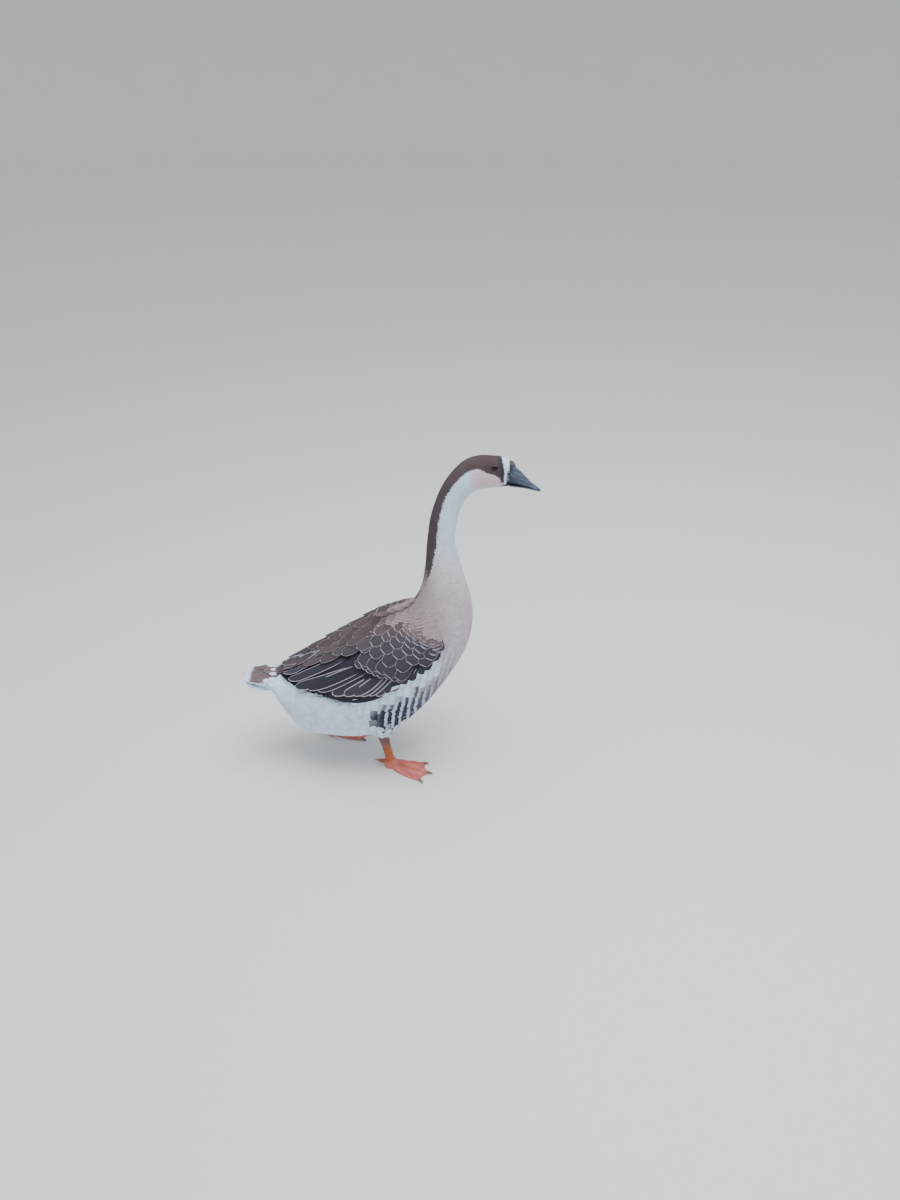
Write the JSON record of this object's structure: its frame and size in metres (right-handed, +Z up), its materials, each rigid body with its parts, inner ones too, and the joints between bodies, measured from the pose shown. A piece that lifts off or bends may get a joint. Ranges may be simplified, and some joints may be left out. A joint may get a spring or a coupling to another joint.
{
  "type": "chinese goose",
  "caption": "Life-size standing goose with an arched neck, small knob on the bill, folded wings and webbed orange feet.",
  "frame": {"origin": "on the floor under the middle of the bird's length, in the body's plane of symmetry", "axes": "+X the way the bird faces, +Y its left side, +Z up"},
  "size_m": [0.6234, 0.2206, 0.7387],
  "materials": {
    "white_feathers": "soft matt plumage",
    "buff_feathers": "soft matt plumage",
    "brown_feathers": "matt plumage with pale edges",
    "bill_horn": "satin horn",
    "eye": "wet gloss",
    "orange_skin": "scaly skin",
    "claw_horn": "dull horn"
  },
  "bodies": {
    "root": {"head": "brown_feathers", "knob": "bill_horn", "bill_upper": "bill_horn", "bill_lower": "bill_horn", "eye_left": "eye", "eye_right": "eye", "neck_upper": "buff_feathers", "neck_middle": "buff_feathers", "neck_lower": "buff_feathers", "trunk": "buff_feathers", "tail": "white_feathers", "wing_left": "brown_feathers", "wing_right": "brown_feathers", "thigh_left": "white_feathers", "thigh_right": "white_feathers", "shank_left": "orange_skin", "shank_right": "orange_skin", "foot_left": "orange_skin", "foot_right": "orange_skin", "hind_toe_left": "orange_skin", "hind_toe_right": "orange_skin", "claw_inner_left": "claw_horn", "claw_inner_right": "claw_horn", "claw_middle_left": "claw_horn", "claw_middle_right": "claw_horn", "claw_outer_left": "claw_horn", "claw_outer_right": "claw_horn"}
  },
  "joints": []
}
